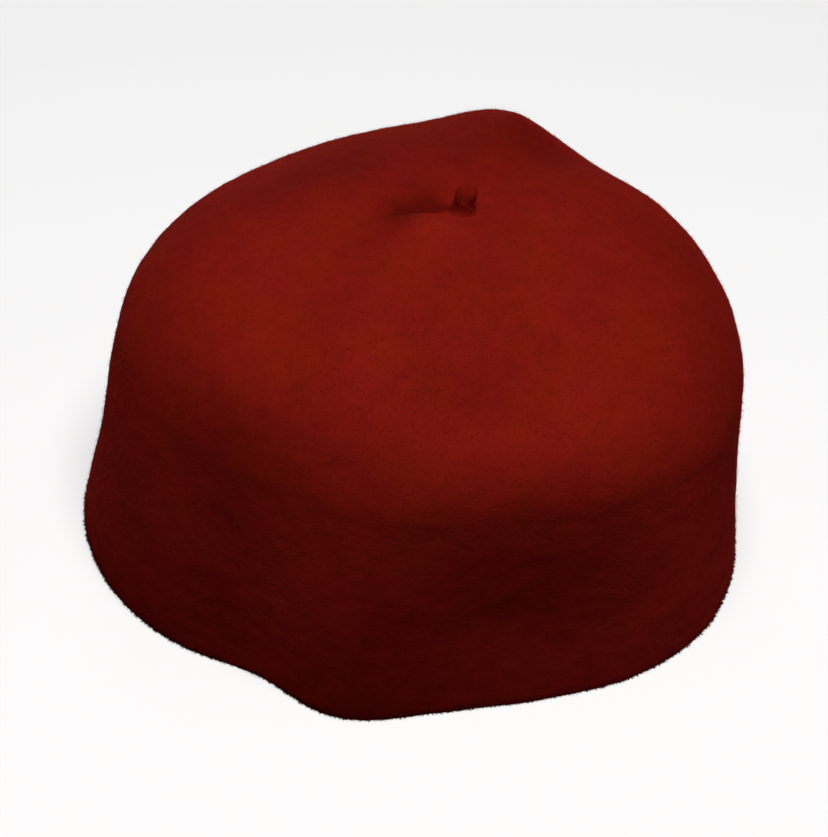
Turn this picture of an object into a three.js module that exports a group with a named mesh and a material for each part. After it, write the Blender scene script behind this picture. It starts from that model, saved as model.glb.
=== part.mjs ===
// A chief's red felt cap: one seamless hollow of thick wool felt, with a short felted stalk at the
// crown. It was stored folded flat, so a crease runs from the rim in front, over the crown, to the
// shoulder behind.
// Millimetres, +Z up. The cap stands on its rim, and its origin is on the floor under its middle.
import * as THREE from "three";

// The felt shell
const headOpening = 185; // inside width of the rim, for a head of 58 cm
const feltThickness = 2.5;
const wallHeight = 60; // from the rim to the brow, where the wall turns into the crown
const wallFlare = 1.6; // exponent of the wall's curve: 1 is straight, more leans out only near the rim
const browWidth = 182; // outside width at the brow
const capHeight = 104; // from the rim to the crown's centre
const crownLean = 3; // how far the slumped crown lies to the right of the rim
const crownRoundness = 2.7; // exponents of the crown's curve: 2 is an ellipse, more is squarer
const crownFlatness = 2.1;
const rimRounding = 0.6; // radius on both edges of the cut felt

// The stalk, a stub of felted yarn that closes the crown's centre
const stalkDiameter = 6;
const stalkFootWidth = 5.4; // where it meets the cap
const stalkLength = 7;
const stalkBow = 1.2; // how far its tip leans over
const stalkAzimuth = 30; // towards which it leans, in degrees
const stalkOffset = 2; // the felt round it, and so the stalk, is drawn this far to the right
const offsetFade = 26; // and the felt less so with its distance from the crown's centre
const seatMargin = 1; // the flat that the stalk stands on is this much wider than it, all round
const seatGap = 0.3; // between the stalk and that flat
const puckerDepth = 2.2; // the felt is drawn in round the stalk
const puckerWidth = 7; // from the edge of the flat outwards

// How finely the surfaces are cut into facets
const columns = 88;
const wallRows = 6;
const crownRows = 22;
const edgeRows = 3;
const stalkSides = 12;
const stalkRows = 6;

// The folds, dents and swellings of the soft felt. azimuth is the side that a fold faces, from +X
// through +Y (behind), and spread its half width, both in degrees. place goes up the felt from the
// rim (0) to the crown's centre (1), and reach is the half height, on the same scale. push is how
// far the felt moves out (+) or in (-), as a share of the rim's radius.
const folds = [
  { name: "crease end at the rim", azimuth: -102, spread: 9, place: 0, reach: 0.2, push: 0.068 },
  { name: "dent beside the crease end", azimuth: -116, spread: 8, place: 0, reach: 0.12, push: -0.038 },
  { name: "corner left of the dent", azimuth: -143, spread: 13, place: 0.04, reach: 0.17, push: 0.036 },
  { name: "flare at the left of the rim", azimuth: -173, spread: 18, place: 0, reach: 0.1, push: 0.054 },
  { name: "flat front of the rim", azimuth: -73, spread: 18, place: 0, reach: 0.3, push: -0.038 },
  { name: "right corner of the rim", azimuth: -38, spread: 18, place: 0.05, reach: 0.21, push: 0.024 },
  { name: "flat right wall", azimuth: -4, spread: 22, place: 0.2, reach: 0.21, push: -0.033 },
  { name: "full left wall", azimuth: 180, spread: 25, place: 0.3, reach: 0.17, push: 0.042 },
  { name: "hollow in the front wall", azimuth: -70, spread: 18, place: 0.15, reach: 0.06, push: -0.012 },
  { name: "sunken right shoulder", azimuth: 5, spread: 22, place: 0.48, reach: 0.13, push: -0.048 },
  { name: "sunken left shoulder", azimuth: 178, spread: 22, place: 0.48, reach: 0.13, push: -0.027 },
  { name: "dent in the left brow", azimuth: -150, spread: 22, place: 0.42, reach: 0.07, push: -0.02 },
  { name: "dent in the front brow", azimuth: -118, spread: 20, place: 0.4, reach: 0.06, push: -0.018 },
  { name: "flat shoulder, back left", azimuth: 135, spread: 22, place: 0.55, reach: 0.18, push: -0.032 },
  { name: "crease end on the shoulder", azimuth: 78, spread: 11, place: 0.62, reach: 0.14, push: 0.064 },
  { name: "dent beside that crease end", azimuth: 55, spread: 12, place: 0.6, reach: 0.14, push: -0.032 },
  { name: "flat shoulder, back right", azimuth: 28, spread: 18, place: 0.55, reach: 0.18, push: -0.02 },
  { name: "crease down the crown", azimuth: -104, spread: 11, place: 0.68, reach: 0.13, push: 0.01 },
  { name: "valley left of that crease", azimuth: -127, spread: 11, place: 0.68, reach: 0.1, push: -0.011 },
  { name: "valley right of that crease", azimuth: -82, spread: 10, place: 0.66, reach: 0.1, push: -0.009 },
  { name: "pinch left of the stalk", azimuth: 175, spread: 13, place: 0.945, reach: 0.035, push: -0.034 },
  { name: "end of that pinch", azimuth: -168, spread: 8, place: 0.89, reach: 0.035, push: -0.018 },
  { name: "lip behind that pinch", azimuth: 140, spread: 14, place: 0.94, reach: 0.03, push: 0.01 },
  { name: "pinch behind the stalk", azimuth: 68, spread: 16, place: 0.93, reach: 0.03, push: -0.012 },
];
const foldFade = 6; // the folds die away over this last stretch before the stalk's flat

const rimRadius = headOpening / 2 + feltThickness;
const edgeRadius = Math.min(rimRounding, feltThickness / 3);
const browRadius = browWidth / 2;
const crownHeight = capHeight - wallHeight;
const seatRadius = stalkDiameter / 2 + seatMargin;
const smooth = (share) => share * share * (3 - 2 * share);
const bell = (offset) => Math.exp(-0.5 * offset * offset);

// The outside of the felt from rim to crown, before any fold. Each row has its radius and height,
// the direction that faces out of the felt, and along, its share of the way up.
function outerRows() {
  const rows = [];
  for (let row = 0; row < wallRows; row++) {
    const share = row / wallRows;
    rows.push({
      radius: THREE.MathUtils.lerp(browRadius, rimRadius, (1 - share) ** wallFlare),
      height: Math.max(wallHeight * share, edgeRadius),
      out: new THREE.Vector2(1, 0),
    });
  }
  const seatTurn = Math.acos((seatRadius / browRadius) ** (crownRoundness / 2));
  for (let row = 0; row <= crownRows; row++) {
    const evenly = 1 - (1 - row / crownRows) ** (crownRoundness / 2);
    const radius = browRadius * Math.cos(seatTurn * evenly) ** (2 / crownRoundness);
    const rise = crownHeight * Math.sin(seatTurn * evenly) ** (2 / crownFlatness);
    const steepness = new THREE.Vector2(
      (crownRoundness / browRadius) * (radius / browRadius) ** (crownRoundness - 1),
      (crownFlatness / crownHeight) * (rise / crownHeight) ** (crownFlatness - 1),
    );
    rows.push({ radius, height: wallHeight + rise, out: steepness.normalize() });
  }
  rows.push({ radius: 0, height: capHeight, out: new THREE.Vector2(0, 1) });
  let length = 0;
  rows.forEach((row, i) => {
    const below = rows[i - 1] ?? row;
    length += Math.hypot(row.radius - below.radius, row.height - below.height);
    row.along = length;
  });
  rows.forEach((row) => (row.along /= length));
  return rows;
}

// The inside follows the outside at the felt's thickness.
function innerRows(outer) {
  return outer.map((row) => ({
    ...row,
    radius: Math.max(row.radius - feltThickness * row.out.x, 0),
    height: row.height - feltThickness * row.out.y,
  }));
}

// The cut edge that the cap stands on: flat, with both its corners rounded.
function rimEdge() {
  const corner = (radius, from, to) =>
    new THREE.EllipseCurve(radius, edgeRadius, edgeRadius, edgeRadius, from, to)
      .getPoints(edgeRows)
      .map((point) => ({ radius: point.x, height: point.y, out: new THREE.Vector2(1, 0), along: 0 }));
  const inside = corner(rimRadius - feltThickness + edgeRadius, Math.PI, 1.5 * Math.PI);
  const outside = corner(rimRadius - edgeRadius, 1.5 * Math.PI, 2 * Math.PI);
  return [...inside.slice(1), ...outside.slice(0, -1)];
}

// How far the folds move the felt of one row at one azimuth, in millimetres.
function foldPush(azimuth, row) {
  const sum = folds.reduce((total, fold) => {
    const aside = THREE.MathUtils.euclideanModulo(azimuth - fold.azimuth + 180, 360) - 180;
    return total + fold.push * bell(aside / fold.spread) * bell((row.along - fold.place) / fold.reach);
  }, 0);
  const fade = THREE.MathUtils.clamp((row.radius - seatRadius) / foldFade, 0, 1);
  return rimRadius * sum * smooth(fade);
}

const puckerDrop = (radius) => puckerDepth * bell(Math.max(radius - seatRadius, 0) / (puckerWidth / 2));

// The whole section is turned round the axis, then each point is moved to where the soft felt lies.
function feltShell() {
  const outer = outerRows();
  const section = [...innerRows(outer).reverse(), ...rimEdge(), ...outer];
  const profile = section.map((row) => new THREE.Vector2(row.radius, row.height));
  const shell = new THREE.LatheGeometry(profile, columns);
  const place = shell.attributes.position;
  for (let i = 0; i < place.count; i++) {
    const row = section[i % section.length];
    const turn = ((Math.floor(i / section.length) % columns) / columns) * 2 * Math.PI;
    const push = foldPush(THREE.MathUtils.radToDeg(turn), row);
    const radius = row.radius + push * row.out.x;
    const height = row.height + push * row.out.y - puckerDrop(row.radius);
    const aside = crownLean * (height / capHeight) + stalkOffset * bell(row.radius / offsetFade);
    place.setXYZ(i, radius * Math.cos(turn) + aside, radius * Math.sin(turn), height);
  }
  shell.computeVertexNormals();
  return shell;
}

// A stub with a rounded tip, a little wider than its foot and bowed over towards stalkAzimuth.
function stalkStub() {
  const tipRadius = stalkDiameter / 2;
  const footRadius = stalkFootWidth / 2;
  const tip = new THREE.EllipseCurve(0, stalkLength - tipRadius, tipRadius, tipRadius, 0, Math.PI / 2);
  const profile = [new THREE.Vector2(0, 0), new THREE.Vector2(footRadius, 0), ...tip.getPoints(stalkRows)];
  profile[profile.length - 1].x = 0;
  const shank = Array.from({ length: stalkRows - 1 }, (_, i) => {
    const share = (i + 1) / stalkRows;
    return new THREE.Vector2(
      THREE.MathUtils.lerp(footRadius, tipRadius, smooth(share)),
      (stalkLength - tipRadius) * share,
    );
  });
  profile.splice(2, 0, ...shank);
  const stub = new THREE.LatheGeometry(profile, stalkSides);
  stub.rotateX(Math.PI / 2);
  const place = stub.attributes.position;
  const towards = THREE.MathUtils.degToRad(stalkAzimuth);
  for (let i = 0; i < place.count; i++) {
    const bow = stalkBow * (place.getZ(i) / stalkLength) ** 2;
    place.setX(i, place.getX(i) + bow * Math.cos(towards));
    place.setY(i, place.getY(i) + bow * Math.sin(towards));
  }
  stub.computeVertexNormals();
  return stub;
}

const redFelt = new THREE.MeshStandardMaterial({ color: 0x7a140d, roughness: 0.95, metalness: 0 });
const darkRedFelt = new THREE.MeshStandardMaterial({ color: 0x5e0f0a, roughness: 0.95, metalness: 0 });

const feltCap = new THREE.Mesh(feltShell(), redFelt);
feltCap.name = "felt_cap";

const stalk = new THREE.Mesh(stalkStub(), darkRedFelt);
stalk.name = "stalk";
stalk.position.set(crownLean + stalkOffset, 0, capHeight - puckerDepth + seatGap);

const cap = new THREE.Group();
cap.add(feltCap, stalk);
const middle = new THREE.Box3().setFromObject(feltCap).getCenter(new THREE.Vector3());
cap.position.set(-middle.x, -middle.y, 0);

export default cap;
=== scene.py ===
import math
from collections import namedtuple

import bpy
import numpy as np
from mathutils import Matrix, Vector


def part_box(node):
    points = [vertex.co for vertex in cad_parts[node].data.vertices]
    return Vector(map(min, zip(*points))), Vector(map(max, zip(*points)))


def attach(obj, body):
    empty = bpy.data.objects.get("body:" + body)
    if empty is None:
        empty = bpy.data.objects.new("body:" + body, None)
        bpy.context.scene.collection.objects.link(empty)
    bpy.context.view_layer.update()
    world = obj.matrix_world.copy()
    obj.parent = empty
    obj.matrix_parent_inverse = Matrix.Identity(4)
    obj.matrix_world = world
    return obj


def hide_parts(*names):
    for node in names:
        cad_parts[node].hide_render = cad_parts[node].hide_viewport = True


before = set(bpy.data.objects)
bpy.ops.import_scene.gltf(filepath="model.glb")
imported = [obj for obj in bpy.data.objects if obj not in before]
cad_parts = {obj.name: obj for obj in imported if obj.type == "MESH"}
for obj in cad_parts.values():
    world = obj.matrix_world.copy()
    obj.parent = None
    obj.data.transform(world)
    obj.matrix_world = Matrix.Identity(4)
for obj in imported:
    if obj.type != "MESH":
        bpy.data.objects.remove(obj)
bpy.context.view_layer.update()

# The studio
# The cap stands on a pale floor that sweeps up into a pale backdrop all round. One softbox hangs
# over it, a little in front. A weak one lights its back, and a faint even light fills in all round.
# The camera looks down at it.
photo_width, photo_height = 828, 837  # pixels
sensor_width = 36  # millimetres
camera_elevation = math.radians(35)
camera_roll = math.radians(3.8)
camera_distance = 0.7
camera_aim = Vector((-0.00096, 0.0, 0.03206))
pixels_per_metre = 3419  # at the aim
fill_colour = (0.97, 0.97, 1.1, 1)
fill_strength = 0.045

away = Vector((0, -math.cos(camera_elevation), math.sin(camera_elevation)))
look_down = Matrix.Rotation(math.pi / 2 - camera_elevation, 4, "X")
roll = Matrix.Rotation(camera_roll, 4, "Z")
bpy.ops.object.camera_add(
    location=camera_aim + away * camera_distance, rotation=(look_down @ roll).to_euler()
)
camera = bpy.context.object
camera.name = "camera"
camera.data.sensor_width = sensor_width
camera.data.lens = (
    sensor_width * pixels_per_metre * camera_distance / max(photo_width, photo_height)
)
bpy.context.scene.camera = camera
bpy.context.scene.view_settings.view_transform = "Standard"

world = bpy.data.worlds.new("faint fill")
bpy.context.scene.world = world
world.use_nodes = True
background = world.node_tree.nodes["Background"]
background.inputs["Color"].default_value = fill_colour
background.inputs["Strength"].default_value = fill_strength


def lamp(name, tilt, turn, distance, size, watts):
    """A softbox that looks at the cap from tilt degrees off the vertical, turned round it."""
    tilt, turn = math.radians(tilt), math.radians(turn)
    place = Matrix.Rotation(turn, 4, "Z") @ Matrix.Rotation(tilt, 4, "X") @ Vector((0, 0, distance))
    bpy.ops.object.light_add(type="AREA", location=place, rotation=(tilt, 0, turn))
    light = bpy.context.object
    light.name = name
    light.data.shape = "DISK"
    light.data.size = size
    light.data.energy = watts


lamp("softbox", tilt=15, turn=15, distance=1.5, size=0.8, watts=20.3)
lamp("back_fill", tilt=89, turn=193, distance=1.6, size=0.9, watts=7.0)

sweep_radius = 2.5
sweep_bend = 0.8  # radius of the bend from the floor to the backdrop
sweep_steps = 8
sweep_sides = 96
bpy.ops.mesh.primitive_circle_add(vertices=sweep_sides, radius=sweep_radius, fill_type="NGON")
sweep = bpy.context.object
sweep.name = "sweep"
bpy.ops.object.mode_set(mode="EDIT")
for step in range(1, sweep_steps + 1):
    before = math.pi / 2 * (step - 1) / sweep_steps
    after = math.pi / 2 * step / sweep_steps
    rise = sweep_bend * (math.cos(before) - math.cos(after))
    inner = sweep_radius + sweep_bend * math.sin(before)
    outer = sweep_radius + sweep_bend * math.sin(after)
    bpy.ops.mesh.extrude_edges_move(TRANSFORM_OT_translate={"value": (0, 0, rise)})
    bpy.ops.transform.resize(value=(outer / inner, outer / inner, 1))
bpy.ops.object.mode_set(mode="OBJECT")
bpy.ops.object.shade_smooth()
sweep.visible_diffuse = False  # it throws no light back at the cap

sweep_paint = bpy.data.materials.new("pale studio sweep")
sweep_paint.use_nodes = True
sweep_shader = sweep_paint.node_tree.nodes["Principled BSDF"]
sweep_shader.inputs["Base Color"].default_value = (0.62, 0.61, 0.605, 1)
sweep_shader.inputs["Roughness"].default_value = 0.9
sweep_shader.inputs["Emission Color"].default_value = (1, 1, 1, 1)
sweep_shader.inputs["Emission Strength"].default_value = 0.42
sweep.data.materials.append(sweep_paint)

# The felt hood
# One seamless hood of fulled wool, blocked to a low dome with an upright wall and cut off level at
# the rim. It was stored folded flat, so the felt keeps a long crease over the crown, and dents and
# swellings where it was pressed.
felt_thickness = 0.0025
rim_radius = 0.095
rim_rounding = 0.0006  # on both edges of the cut
wall_height = 0.060
wall_flare = 1.6  # exponent of the wall's curve
brow_radius = 0.091  # where the wall turns into the crown
cap_height = 0.104
crown_lean = 0.003  # how far the slumped crown lies to the right of the rim
crown_roundness = 2.7  # exponents of the crown's curve
crown_flatness = 2.1
stalk_offset = 0.002  # how far the felt round the stalk is drawn to the right
offset_fade = 0.026  # and how that dies away from the stalk
seat_radius = 0.004  # the flat that the stalk stands on
fold_fade = 0.006  # the folds die away over this last stretch before the flat
pucker_depth = 0.0022  # the felt is drawn in round the stalk
pucker_width = 0.007
rows = 150
columns = 280
section_samples = 2000
weld = 0.000005  # points nearer than this become one
bevel_angle = math.radians(60)
smooth_angle = math.radians(50)

# The folds, dents and swellings. Azimuth and spread are in degrees, from the right (0) over the
# back (90), place and reach are shares of the way from the rim to the crown's centre, and push is a
# share of the rim's radius, outwards (+) or inwards (-).
Fold = namedtuple("Fold", "azimuth spread place reach push")
folds = {
    "crease end at the rim": Fold(-102, 9, 0, 0.2, 0.068),
    "dent beside the crease end": Fold(-116, 8, 0, 0.12, -0.038),
    "corner left of the dent": Fold(-143, 13, 0.04, 0.17, 0.036),
    "flare at the left of the rim": Fold(-173, 18, 0, 0.1, 0.054),
    "flat front of the rim": Fold(-73, 18, 0, 0.3, -0.038),
    "right corner of the rim": Fold(-38, 18, 0.05, 0.21, 0.024),
    "flat right wall": Fold(-4, 22, 0.2, 0.21, -0.033),
    "full left wall": Fold(180, 25, 0.3, 0.17, 0.042),
    "hollow in the front wall": Fold(-70, 18, 0.15, 0.06, -0.012),
    "sunken right shoulder": Fold(5, 22, 0.48, 0.13, -0.048),
    "sunken left shoulder": Fold(178, 22, 0.48, 0.13, -0.027),
    "dent in the left brow": Fold(-150, 22, 0.42, 0.07, -0.02),
    "dent in the front brow": Fold(-118, 20, 0.4, 0.06, -0.018),
    "flat shoulder, back left": Fold(135, 22, 0.55, 0.18, -0.032),
    "crease end on the shoulder": Fold(78, 11, 0.62, 0.14, 0.064),
    "dent beside that crease end": Fold(55, 12, 0.6, 0.14, -0.032),
    "flat shoulder, back right": Fold(28, 18, 0.55, 0.18, -0.02),
    "crease down the crown": Fold(-104, 11, 0.68, 0.13, 0.01),
    "valley left of that crease": Fold(-127, 11, 0.68, 0.1, -0.011),
    "valley right of that crease": Fold(-82, 10, 0.66, 0.1, -0.009),
    "pinch left of the stalk": Fold(175, 13, 0.945, 0.035, -0.034),
    "end of that pinch": Fold(-168, 8, 0.89, 0.035, -0.018),
    "lip behind that pinch": Fold(140, 14, 0.94, 0.03, 0.01),
    "pinch behind the stalk": Fold(68, 16, 0.93, 0.03, -0.012),
}

# Painted light (+) and painted shade (-): the wool's colour is made lighter or darker where the
# felt is to look more or less lit than the lamps and its shape make it. A tone of 1 is the whole
# way from the wool's dark colour to its bright one.
Mark = namedtuple("Mark", "azimuth spread place reach tone")
marks = {
    "painted light on the crown, left": Mark(-142, 14, 0.68, 0.07, 0.1),
    "painted light on the crown, right": Mark(-48, 18, 0.7, 0.1, 0.04),
    "painted light above the left brow": Mark(-143, 13, 0.53, 0.08, 0.24),
    "painted light above the front brow": Mark(-107, 7, 0.56, 0.09, 0.18),
    "painted light above the right brow": Mark(-62, 14, 0.5, 0.07, 0.24),
    "painted light on the lobe before the stalk": Mark(-115, 22, 0.91, 0.045, 0.18),
    "painted light on the ridge down from it": Mark(-114, 7, 0.8, 0.06, 0.08),
    "painted light on the brow": Mark(-80, 20, 0.45, 0.06, 0.2),
    "painted light low on the brow, left": Mark(-100, 10, 0.4, 0.03, 0.14),
    "painted light under the right brow": Mark(-51, 14, 0.34, 0.035, 0.5),
    "painted light on the right corner": Mark(-41, 10, 0.22, 0.1, 0.32),
    "painted light on the wall above that corner": Mark(-41, 7, 0.32, 0.05, 0.28),
    "painted light on the left wall": Mark(-166, 12, 0.2, 0.12, 0.58),
    "painted light in the valley left of the crease end": Mark(-115, 6, 0.15, 0.09, 0.6),
    "painted shade over the brow": Mark(-84, 9, 0.57, 0.04, -0.26),
    "painted shade in a line down the crown": Mark(-97, 5, 0.67, 0.06, -0.09),
    "painted shade in a line left of it": Mark(-124, 4, 0.66, 0.08, -0.05),
    "upper end of that line": Mark(-139, 8, 0.825, 0.045, -0.22),
    "painted shade on the lobe right of the crease": Mark(-80, 12, 0.8, 0.05, -0.14),
    "painted shade on the flank of the crease": Mark(66, 12, 0.68, 0.07, -0.3),
    "painted shade on the crown, back": Mark(95, 40, 0.76, 0.08, -0.38),
    "painted shade on the crown, back left": Mark(149, 20, 0.73, 0.08, -0.36),
    "painted shade on the shoulder, right": Mark(5, 14, 0.58, 0.07, -0.28),
    "painted shade on the shoulder, left": Mark(172, 12, 0.55, 0.1, -0.12),
    "painted shade on the brow, right": Mark(-18, 14, 0.46, 0.07, -0.25),
    "painted shade on the brow, left": Mark(-130, 12, 0.37, 0.05, -0.24),
    "painted shade on the wall under the left brow": Mark(-121, 7, 0.29, 0.04, -0.18),
    "painted shade behind the stalk": Mark(65, 30, 0.88, 0.04, -0.16),
    "painted shade behind the pinch": Mark(140, 24, 0.92, 0.035, -0.3),
    "painted shade before the pinch": Mark(-150, 10, 0.885, 0.026, -0.5),
    "painted shade in the pinch": Mark(170, 16, 0.965, 0.03, -0.7),
    "painted shade at the pinch's end": Mark(-172, 12, 0.915, 0.028, -0.75),
    "painted shade on the front wall": Mark(-84, 15, 0.13, 0.09, -0.24),
    "painted shade on the front wall, left of it": Mark(-99, 8, 0.17, 0.05, -0.3),
    "painted shade at the rim, front": Mark(-99, 11, 0.01, 0.08, -0.68),
    "painted shade at the rim, left of it": Mark(-126, 8, 0.06, 0.07, -0.3),
    "painted shade at the rim, left": Mark(-150, 18, 0.02, 0.07, -0.3),
    "painted shade at the rim, right": Mark(-57, 18, 0.03, 0.09, -0.28),
    "painted shade along the cut, all round": Mark(0, 900, 0, 0.008, -0.6),
}


def bell(offset):
    return np.exp(-0.5 * offset * offset)


def smooth(share):
    return share * share * (3 - 2 * share)


def crown_turn(radius, height):
    """The angle that stands for a place on the crown's curve, from 0 at the brow to 90 degrees."""
    across = np.clip(radius / brow_radius, 0, 1) ** (crown_roundness / 2)
    up = np.clip((height - wall_height) / (cap_height - wall_height), 0, 1) ** (crown_flatness / 2)
    return np.arctan2(up, across)


# The hood's section, from the rim up the wall and over the crown to its centre
fine = np.linspace(0, 1, section_samples)
wall_section = brow_radius + (rim_radius - brow_radius) * (1 - fine[:-1]) ** wall_flare
fine_turn = np.pi / 2 * (1 - (1 - fine) ** (crown_roundness / 2))
crown_section = brow_radius * np.clip(np.cos(fine_turn), 0, 1) ** (2 / crown_roundness)
crown_section[-1] = 0
crown_rise = (cap_height - wall_height) * np.sin(fine_turn) ** (2 / crown_flatness)
section_radius = np.concatenate([wall_section, crown_section])
section_height = np.concatenate([wall_height * fine[:-1], wall_height + crown_rise])
section_steps = np.hypot(np.diff(section_radius), np.diff(section_height))
section_length = np.concatenate([[0], np.cumsum(section_steps)])
row_length = np.linspace(0, section_length[-1], rows + 1)
row_radius = np.interp(row_length, section_length, section_radius)
row_height = np.interp(row_length, section_length, section_height)

# One point is drawn along the section, and the line it leaves is spun round the axis
bpy.ops.object.select_all(action="DESELECT")
bpy.ops.mesh.primitive_plane_add(size=0.01, location=(row_radius[0], 0, row_height[0]))
felt = bpy.context.object
felt.name = "felt_hood"
bpy.ops.object.transform_apply(location=True, rotation=False, scale=False)
bpy.ops.object.mode_set(mode="EDIT")
bpy.ops.mesh.select_mode(type="VERT")
bpy.ops.mesh.merge(type="CENTER")
for inward, upward in zip(np.diff(row_radius), np.diff(row_height)):
    bpy.ops.mesh.extrude_vertices_move(TRANSFORM_OT_translate={"value": (inward, 0, upward)})
bpy.ops.mesh.select_all(action="SELECT")
bpy.ops.mesh.spin(steps=columns, angle=2 * math.pi, center=(0, 0, 0), axis=(0, 0, 1))
bpy.ops.mesh.select_all(action="SELECT")
bpy.ops.mesh.remove_doubles(threshold=weld)
bpy.ops.mesh.normals_make_consistent(inside=False)
bpy.ops.object.mode_set(mode="OBJECT")


def points_of(piece):
    flat = np.empty(len(piece.data.vertices) * 3)
    piece.data.vertices.foreach_get("co", flat)
    return flat.reshape(-1, 3)


def move_points(piece, points):
    piece.data.vertices.foreach_set("co", points.reshape(-1))
    piece.data.update()


def write_on(piece, name, values):
    """Keeps one number for each point of the piece under a name that its material can read."""
    piece.data.attributes.new(name, "FLOAT", "POINT").data.foreach_set("value", values)


def in_order(piece):
    """Lists the piece's faces by their points. Blender lists them in another order on each run,
    and the fuzz would then grow in other places."""
    faces = []
    for face in piece.data.polygons:
        corners = list(face.vertices)
        first = corners.index(min(corners))
        faces.append(corners[first:] + corners[:first])
    listed = bpy.data.meshes.new(piece.name)
    listed.from_pydata(points_of(piece).tolist(), [], sorted(faces))
    piece.data = listed


in_order(felt)
blocked = points_of(felt)
blocked_radius = np.hypot(blocked[:, 0], blocked[:, 1])
blocked_height = blocked[:, 2]
azimuth = np.degrees(np.arctan2(blocked[:, 1], blocked[:, 0]))
on_wall = blocked_height < wall_height
wall_ends = len(wall_section)
wall_place = np.interp(blocked_height, section_height[:wall_ends], section_length[:wall_ends])
crown_turns = crown_turn(blocked_radius, blocked_height)
crown_place = np.interp(crown_turns, fine_turn, section_length[wall_ends:])
along = np.where(on_wall, wall_place, crown_place) / section_length[-1]


def soft_spot(spot):
    """How near each point of the hood is to the middle of a fold or mark, from 0 to 1."""
    aside = (azimuth - spot.azimuth + 180) % 360 - 180
    return bell(aside / spot.spread) * bell((along - spot.place) / spot.reach)


# The folds push the felt straight out or in
across = blocked_radius / brow_radius
up = np.clip((blocked_height - wall_height) / (cap_height - wall_height), 0, 1)
steep = crown_roundness / brow_radius * across ** (crown_roundness - 1)
flat = crown_flatness / (cap_height - wall_height) * up ** (crown_flatness - 1)
out_across = np.where(on_wall, 1, steep / np.hypot(steep, flat))
out_up = np.where(on_wall, 0, flat / np.hypot(steep, flat))
push = sum(fold.push * soft_spot(fold) for fold in folds.values())
push *= rim_radius * smooth(np.clip((blocked_radius - seat_radius) / fold_fade, 0, 1))
drawn_in = pucker_depth * bell(np.maximum(blocked_radius - seat_radius, 0) / (pucker_width / 2))
folded_radius = blocked_radius + push * out_across
folded_height = blocked_height + push * out_up - drawn_in
aside = crown_lean * folded_height / cap_height + stalk_offset * bell(blocked_radius / offset_fade)
facing = np.radians(azimuth)
folded = np.column_stack(
    [folded_radius * np.cos(facing) + aside, folded_radius * np.sin(facing), folded_height]
)
hood_middle = (folded.min(axis=0) + folded.max(axis=0)) / 2 * (1, 1, 0)
move_points(felt, folded - hood_middle)
# The painted light and shade of the marks is kept on the hood's points for its material
write_on(felt, "painted_light_and_shade", sum(mark.tone * soft_spot(mark) for mark in marks.values()))


def finish_with(piece, kind, **settings):
    """Adds one modifier to the piece and applies it."""
    bpy.context.view_layer.objects.active = piece
    modifier = piece.modifiers.new(kind.lower(), kind)
    for name, value in settings.items():
        setattr(modifier, name, value)
    bpy.ops.object.modifier_apply(modifier=modifier.name)


def roughen(piece, name, size, height):
    """Swells and sinks the piece's surface by cloudy lumps of that size."""
    cloud = bpy.data.textures.new(name, "CLOUDS")
    cloud.noise_scale = size
    cloud.noise_depth = 3
    lumps = {"texture": cloud, "texture_coords": "LOCAL", "strength": height, "mid_level": 0.5}
    finish_with(piece, "DISPLACE", **lumps)


finish_with(felt, "SOLIDIFY", thickness=felt_thickness, offset=-1, use_even_offset=True)
finish_with(
    felt, "BEVEL", width=rim_rounding, segments=3, limit_method="ANGLE", angle_limit=bevel_angle
)
roughen(felt, "uneven fulling", size=0.016, height=0.0008)
roughen(felt, "wool grain", size=0.0035, height=0.00028)
# No grain reaches below the floor
standing = points_of(felt)
standing[:, 2] = np.maximum(standing[:, 2], 0)
move_points(felt, standing)
bpy.ops.object.shade_smooth_by_angle(angle=smooth_angle)


class Wire:
    """One socket of a node tree. Arithmetic on wires and numbers adds the Math nodes."""

    def __init__(self, tree, socket):
        self.tree = tree
        self.socket = socket

    def node(self, kind, settings, inputs, output=0):
        """Adds one node, with its settings and the values or wires of its sockets."""
        made = self.tree.nodes.new(kind)
        for name, value in settings.items():
            setattr(made, name, value)
        for name, value in inputs.items():
            if isinstance(value, Wire):
                self.tree.links.new(value.socket, made.inputs[name])
            else:
                made.inputs[name].default_value = value
        return Wire(self.tree, made.outputs[output])

    def math(self, operation, left, right):
        return self.node("ShaderNodeMath", {"operation": operation}, {0: left, 1: right})

    def __add__(self, other):
        return self.math("ADD", self, other)

    def __radd__(self, other):
        return self.math("ADD", other, self)

    def __sub__(self, other):
        return self.math("SUBTRACT", self, other)

    def __rsub__(self, other):
        return self.math("SUBTRACT", other, self)

    def __mul__(self, other):
        return self.math("MULTIPLY", self, other)

    def __rmul__(self, other):
        return self.math("MULTIPLY", other, self)

    def noise(self, scale, detail, roughness=0.55, distortion=0.0):
        values = {"Vector": self, "Scale": scale, "Detail": detail}
        values |= {"Roughness": roughness, "Distortion": distortion}
        return self.node("ShaderNodeTexNoise", {}, values)

    def between(self, low, high):
        """Runs smoothly from 0 to 1 as this wire goes from low to high."""
        values = {"Value": self, "From Min": low, "From Max": high}
        return self.node("ShaderNodeMapRange", {"interpolation_type": "SMOOTHSTEP"}, values)

    def blend(self, low, high):
        """The colour low where this wire is 0 and high where it is 1."""
        colours = {"Factor": self, "A": low, "B": high}
        return self.node("ShaderNodeMix", {"data_type": "RGBA", "clamp_factor": False}, colours, 2)

    def into(self, node, name):
        self.tree.links.new(self.socket, node.inputs[name])


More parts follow.
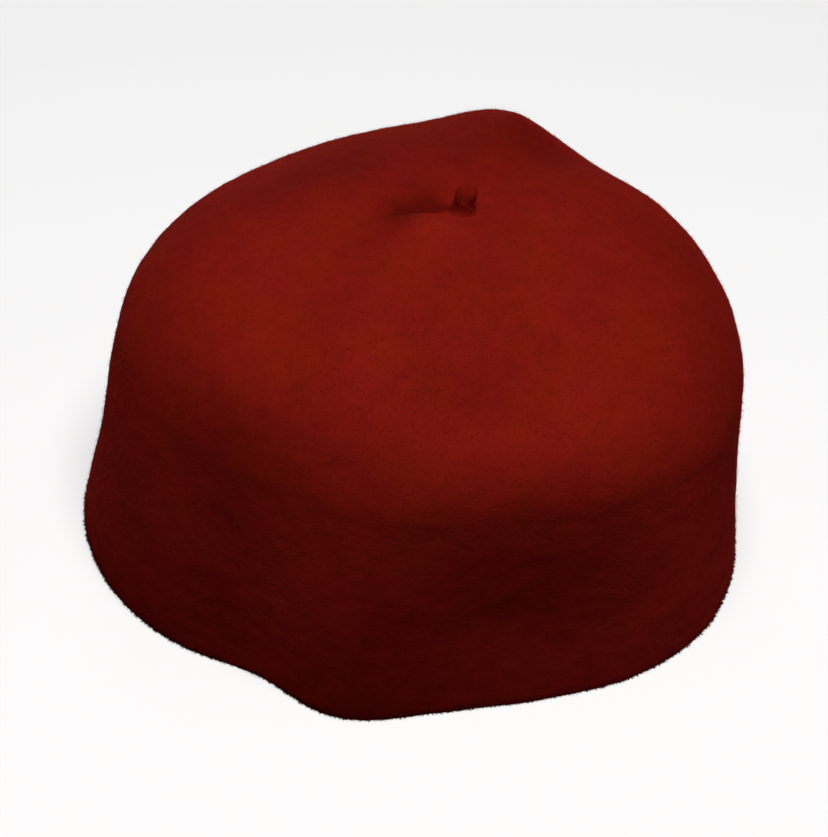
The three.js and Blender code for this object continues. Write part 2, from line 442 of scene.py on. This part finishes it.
# The wool's colours at the tones 0 and 1. They go on beyond both, down to the darkest tone.
dark_wool = (0.130, 0.0050, 0.0027)
bright_wool = (0.262, 0.0112, 0.0055)
darkest = -0.5
even_tone = 0.5  # of felt without a mark
patch_contrast, clump_contrast, grain_contrast = 0.15, 0.2, 0.16
least_roughness, grain_roughness = 0.88, 0.1
crimson_dye = (1, 0.92, 1.12, 1)  # the dye took unevenly, by these shares of the wool's colour
scarlet_dye = (0.98, 1.1, 0.85, 1)
sheen_colour = (0.8, 0.03, 0.02, 1)


def red_wool(name, shade):
    """Matt red wool, its colours times shade. Painted light and shade kept on its points make it
    lighter or darker.
    """
    material = bpy.data.materials.new(name)
    material.use_nodes = True
    tree = material.node_tree
    shader = tree.nodes["Principled BSDF"]
    place = Wire(tree, tree.nodes.new("ShaderNodeTexCoord").outputs["Object"])
    # It reads the painted light and shade kept on each point
    painted_light_and_shade = place.node("ShaderNodeAttribute", {"attribute_name": "painted_light_and_shade"}, {}, "Fac")
    patches = place.noise(scale=34, detail=2).between(0.3, 0.7)
    clumps = place.noise(scale=170, detail=4, roughness=0.6, distortion=0.6).between(0.28, 0.72)
    grain = place.noise(scale=900, detail=3, roughness=0.7, distortion=1.4).between(0.25, 0.75)
    fibres = place.noise(scale=2400, detail=2, roughness=0.7, distortion=2.0)
    tone = even_tone + painted_light_and_shade + (patches - 0.5) * patch_contrast
    tone = tone + (clumps - 0.5) * clump_contrast + (grain - 0.5) * grain_contrast
    tone = tone.math("MAXIMUM", tone, darkest)
    dark = (*(shade * part for part in dark_wool), 1)
    bright = (*(shade * part for part in bright_wool), 1)
    dye = place.noise(scale=60, detail=3).between(0.35, 0.65).blend(crimson_dye, scarlet_dye)
    colours = {"Factor": 1, "A": tone.blend(dark, bright), "B": dye}
    dyed = place.node("ShaderNodeMix", {"data_type": "RGBA", "blend_type": "MULTIPLY"}, colours, 2)
    dyed.into(shader, "Base Color")
    (least_roughness + grain * grain_roughness).into(shader, "Roughness")
    nap = clumps * 0.45 + grain * 0.35 + fibres * 0.2
    bump = {"Height": nap, "Strength": 0.55, "Distance": 0.0004}
    place.node("ShaderNodeBump", {}, bump).into(shader, "Normal")
    shader.inputs["Specular IOR Level"].default_value = 0.01
    shader.inputs["Sheen Weight"].default_value = 0.12
    shader.inputs["Sheen Roughness"].default_value = 0.6
    shader.inputs["Sheen Tint"].default_value = sheen_colour
    return material


felt.data.materials.append(red_wool("red wool felt", 1.0))
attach(felt, "root")
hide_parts("felt_cap")

# The stalk
# The stub of felted yarn that closes the crown's centre. Its root spreads out inside the puckered
# felt that it was worked into, its yarn is twisted, and its tip is a blunt round tuft.
stalk_radius = 0.003
stalk_length = 0.007
stalk_bow = 0.0012  # how far its tip leans over, and towards which side
stalk_azimuth = math.radians(30)
stalk_sides = 32
root_depth = 0.001  # from the node's foot down into the felt
twist_ridges = 3
twist_turns = 0.6
twist_depth = 0.00007
tip_painted_shade = -0.35  # painted shade that darkens the lit top of the tip
tip_starts = 0.6  # shares of the way up: where it starts, and how far it takes to be full
tip_blend = 0.3
top_inset = 0.1  # shares of its radius
least_width = 0.01

stalk_foot = Vector(
    (
        crown_lean + stalk_offset - hood_middle[0],
        -hood_middle[1],
        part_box("stalk")[0][2] - root_depth,
    )
)
stalk_rise = stalk_length + root_depth

# Height up the stalk, as a share of its length with its root, and radius, as a share of its own
Ring = namedtuple("Ring", "height radius")
stalk_rings = [
    Ring(0.0, 1.4),
    Ring(0.08, 1.2),
    Ring(0.16, 1.06),
    Ring(0.28, 0.98),
    Ring(0.42, 0.97),
    Ring(0.57, 1.0),
    Ring(0.72, 1.02),
    Ring(0.85, 0.95),
    Ring(0.94, 0.76),
    Ring(0.985, 0.5),
    Ring(1.0, 0.22),
]
bpy.ops.object.select_all(action="DESELECT")
bpy.ops.mesh.primitive_circle_add(
    vertices=stalk_sides,
    radius=stalk_radius * stalk_rings[0].radius,
    fill_type="NGON",
    location=stalk_foot,
)
stalk = bpy.context.object
stalk.name = "felted_stalk"
bpy.ops.object.transform_apply(location=True, rotation=False, scale=False)
bpy.ops.object.mode_set(mode="EDIT")
for lower, upper in zip(stalk_rings, stalk_rings[1:]):
    bow = stalk_bow * (upper.height**2 - lower.height**2)
    lift = stalk_rise * (upper.height - lower.height)
    step = (bow * math.cos(stalk_azimuth), bow * math.sin(stalk_azimuth), lift)
    bpy.ops.mesh.extrude_region_move(TRANSFORM_OT_translate={"value": step})
    ratio = upper.radius / lower.radius
    bpy.ops.transform.resize(value=(ratio, ratio, 1))
bpy.ops.mesh.inset(thickness=stalk_radius * top_inset)
bpy.ops.mesh.select_all(action="SELECT")
bpy.ops.mesh.normals_make_consistent(inside=False)
bpy.ops.object.mode_set(mode="OBJECT")
in_order(stalk)
finish_with(stalk, "SUBSURF", levels=2, render_levels=2)

# The twist of the yarn: shallow grooves that wind up round it
twisted = points_of(stalk)
climb = (twisted[:, 2] - stalk_foot.z) / stalk_rise
axis_bow = stalk_bow * climb**2
from_axis = twisted[:, :2] - np.array(stalk_foot[:2])
from_axis -= np.outer(axis_bow, (math.cos(stalk_azimuth), math.sin(stalk_azimuth)))
round_it = np.arctan2(from_axis[:, 1], from_axis[:, 0])
groove = np.cos(twist_ridges * (round_it + 2 * math.pi * twist_turns * climb))
width = np.maximum(np.hypot(from_axis[:, 0], from_axis[:, 1]), stalk_radius * least_width)
reach = groove * twist_depth * np.minimum(width / stalk_radius, 1)
twisted[:, :2] += from_axis / width[:, None] * reach[:, None]
move_points(stalk, twisted)
roughen(stalk, "knotted yarn", size=0.0022, height=0.0004)
# Painted shade darkens the stalk's tip, which the lamp overhead lights
tip = smooth(np.clip((climb - tip_starts) / tip_blend, 0, 1))
write_on(stalk, "painted_light_and_shade", tip_painted_shade * tip)
bpy.ops.object.shade_smooth()
# The stalk's felt is a little lighter than the hood's: painted light all over it, for its shaded
# sides
stalk.data.materials.append(red_wool("stalk felt", 1.05))
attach(stalk, "root")
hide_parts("stalk")

# The fuzz
# Loose ends of wool that stand up from the felt all over, thin on the blocked crown and wall and
# thick at the cut rim and on the stalk. Each is a fine tapering hair with a bend in it.
hair_bend = 0.45  # the share of its length at which a hair bends
hair_tip = 0.9  # what lies above this share of its length is its tip
tip_shift = np.array((0.4, 0, -0.12))  # how far the tip is bent over, in lengths
hair_growth = (0.45, 1.25)  # from the shortest to the longest, in lengths


def one_hair(name, length, radius):
    """A tapering hair that stands on the origin with its upper half bent over."""
    bpy.ops.object.select_all(action="DESELECT")
    bpy.ops.mesh.primitive_cone_add(
        vertices=3, radius1=radius, radius2=0, depth=length, location=(0, 0, length / 2)
    )
    hair = bpy.context.object
    hair.name = name
    bpy.ops.object.transform_apply(location=True, rotation=False, scale=False)
    bpy.ops.object.mode_set(mode="EDIT")
    bpy.ops.mesh.select_all(action="SELECT")
    bpy.ops.mesh.bisect(plane_co=(0, 0, length * hair_bend), plane_no=(0, 0, 1))
    bpy.ops.object.mode_set(mode="OBJECT")
    bent = points_of(hair)
    bent[bent[:, 2] > length * hair_tip] += tip_shift * length
    move_points(hair, bent)
    return hair


fine_hair = one_hair("fine_hair", length=0.0015, radius=0.00004)
frayed_tuft = one_hair("frayed_tuft", length=0.0009, radius=0.0002)
# The loose wool is a tenth lighter than the felt: painted light where its fibres catch the lamps
loose_wool = red_wool("loose wool", 1.1)
# Painted shade: the tufts at the cut get wool at half the felt's colour, for the shade along the
# foot of the rim
wool_in_painted_shade = red_wool("wool painted dark for the shade at the cut", 0.5)


def grow_hairs(name, host, hair, wool, count, thickness, lying, seed):
    """Plants about count hairs on the host, as close together as thickness says for each point,
    each one leaning from its own normal by an angle between the two of lying."""
    fuzz = host.copy()
    fuzz.data = host.data.copy()
    fuzz.name = name
    bpy.context.collection.objects.link(fuzz)
    write_on(fuzz, "thickness", thickness)
    corners = [list(face.vertices) for face in fuzz.data.polygons]
    planted = sum(
        face.area * thickness[points].mean() for face, points in zip(fuzz.data.polygons, corners)
    )

    tree = bpy.data.node_groups.new(name, "GeometryNodeTree")
    tree.interface.new_socket("Geometry", in_out="INPUT", socket_type="NodeSocketGeometry")
    tree.interface.new_socket("Geometry", in_out="OUTPUT", socket_type="NodeSocketGeometry")
    ground = Wire(tree, tree.nodes.new("NodeGroupInput").outputs["Geometry"])
    close = ground.node("GeometryNodeInputNamedAttribute", {}, {"Name": "thickness"})
    sown = {"Mesh": ground, "Density": close * (count / planted), "Seed": seed}
    roots = ground.node("GeometryNodeDistributePointsOnFaces", {}, sown)
    upright = Wire(tree, roots.socket.node.outputs["Rotation"])
    least = (math.radians(lying[0]), 0, 0)
    most = (math.radians(lying[1]), 0, 2 * math.pi)
    lean_and_turn = ground.node(
        "FunctionNodeRandomValue",
        {"data_type": "FLOAT_VECTOR"},
        {0: least, 1: most, "Seed": seed + 1},
    )
    leaning = ground.node("FunctionNodeEulerToRotation", {}, {"Euler": lean_and_turn})
    facing_out = ground.node(
        "FunctionNodeRotateRotation",
        {"rotation_space": "LOCAL"},
        {"Rotation": upright, "Rotate By": leaning},
    )
    shortest, longest = hair_growth
    grown = ground.node(
        "FunctionNodeRandomValue",
        {"data_type": "FLOAT"},
        {2: shortest, 3: longest, "Seed": seed + 2},
        1,
    )
    one = ground.node("GeometryNodeObjectInfo", {}, {"Object": hair}, "Geometry")
    planting = {"Points": roots, "Instance": one, "Rotation": facing_out, "Scale": grown}
    hairs = ground.node("GeometryNodeInstanceOnPoints", {}, planting)
    solid = ground.node("GeometryNodeRealizeInstances", {}, {"Geometry": hairs})
    solid.into(tree.nodes.new("NodeGroupOutput"), "Geometry")
    finish_with(fuzz, "NODES", node_group=tree)

    above_floor = points_of(fuzz)
    above_floor[:, 2] = np.maximum(above_floor[:, 2], 0)
    move_points(fuzz, above_floor)
    fuzz.data.materials.clear()
    fuzz.data.materials.append(wool)
    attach(fuzz, "root")


felt_points = points_of(felt)
felt_normals = np.empty(len(felt_points) * 3)
felt.data.vertices.foreach_get("normal", felt_normals)
from_inside = felt_points - (0, 0, wall_height / 2)
outside = (felt_normals.reshape(-1, 3) * from_inside).sum(axis=1) > 0
height = felt_points[:, 2]
fuzz_border = wall_height + 0.006  # the wall's fuzz ends and the crown's starts
outer_wall = outside & (height < fuzz_border)
outer_crown = outside & (height >= fuzz_border)
above_root = points_of(stalk)[:, 2] > stalk_foot.z + root_depth

# The cut frays in clumps of uneven size, mostly on its outer edge
frayed_height = 0.0008
frayed_inside = 0.1
short_wave, beat_wave, long_wave = 67, 41, 13  # so many times round the rim
facing = np.arctan2(felt_points[:, 1], felt_points[:, 0])
beating = np.sin(short_wave * facing) * np.sin(beat_wave * facing + 1)
clumped = 1 + 0.5 * beating + 0.4 * np.sin(long_wave * facing)
frayed = clumped * bell(height / frayed_height) * np.where(outside, 1, frayed_inside)
# Its dark tufts are painted shade along the foot of the cut
grow_hairs(
    "cut_edge_fuzz",
    host=felt,
    hair=frayed_tuft,
    wool=wool_in_painted_shade,
    count=8000,
    thickness=frayed,
    lying=(10, 80),
    seed=11,
)

# Near the cut the wall's fuzz is three times as close
worn_height = 0.004
worn_fuzz = 1 + 2 * bell(height / worn_height)
grow_hairs(
    "wall_fuzz",
    host=felt,
    hair=fine_hair,
    wool=loose_wool,
    count=19000,
    thickness=outer_wall * worn_fuzz,
    lying=(35, 86),
    seed=21,
)
grow_hairs(
    "crown_fuzz",
    host=felt,
    hair=fine_hair,
    wool=loose_wool,
    count=19000,
    thickness=1.0 * outer_crown,
    lying=(40, 86),
    seed=31,
)
grow_hairs(
    "stalk_fuzz",
    host=stalk,
    hair=fine_hair,
    wool=loose_wool,
    count=500,
    thickness=1.0 * above_root,
    lying=(30, 85),
    seed=41,
)
for stem in (fine_hair, frayed_tuft):
    bpy.data.objects.remove(stem)
